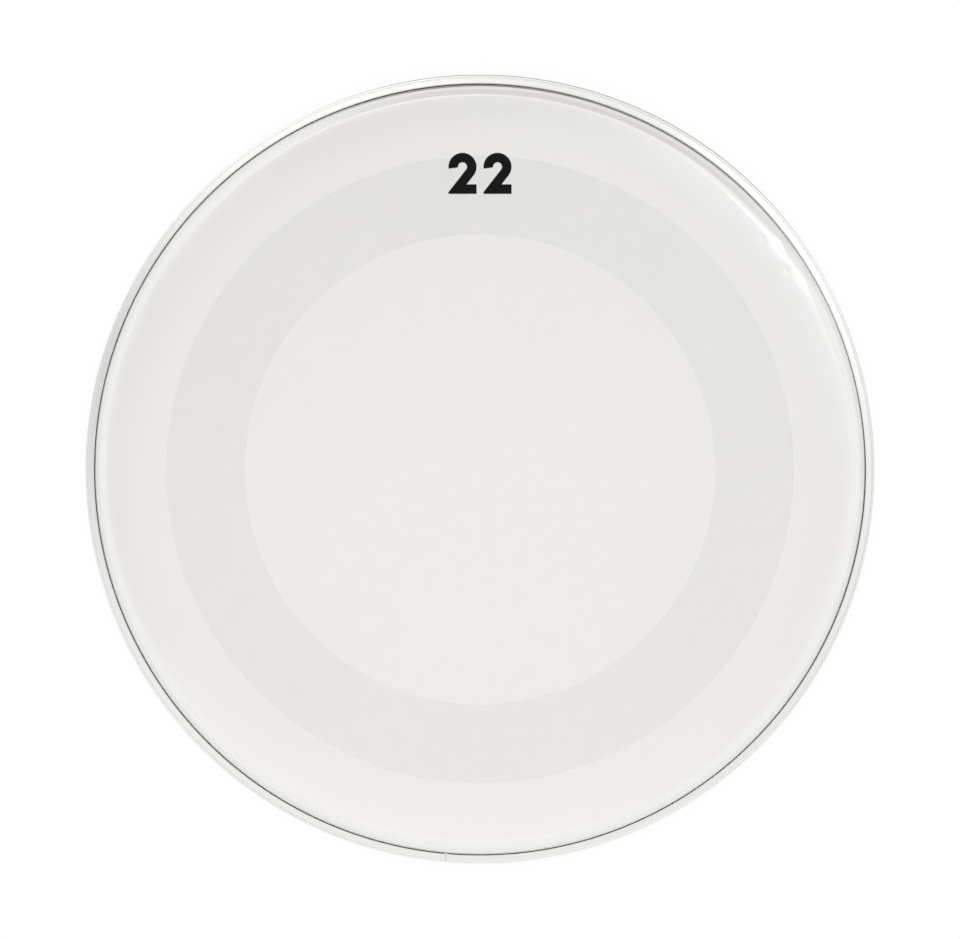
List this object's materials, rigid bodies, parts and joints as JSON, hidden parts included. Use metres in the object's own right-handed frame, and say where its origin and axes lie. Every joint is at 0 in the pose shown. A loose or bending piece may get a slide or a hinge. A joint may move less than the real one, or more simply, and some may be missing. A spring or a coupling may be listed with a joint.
{
  "type": "drum head",
  "caption": "Clear bass drum head: film with a formed collar and a bonded muffling ring, locked in a rolled aluminium hoop that slips over a drum shell.",
  "frame": {"origin": "centre of the plane that the hoop's underside stands on", "axes": "+Z along the head's own axis, out of the playing side; +Y towards the printed size figures"},
  "size_m": [0.5769, 0.577, 0.0245],
  "materials": {
    "hoop_aluminium": "rolled strip, satin",
    "locking_steel": "zinc-plated bar",
    "clear_film": "clear polyester film, glossy",
    "clear_adhesive": "clear transfer adhesive",
    "muffle_film": "faintly hazy polyester film",
    "mark_ink": "screen-printed black ink"
  },
  "bodies": {
    "root": {"hoop_channel": "hoop_aluminium", "locking_ring": "locking_steel", "batter_film": "clear_film", "ring_adhesive": "clear_adhesive", "muffle_ring": "muffle_film"}
  },
  "joints": []
}
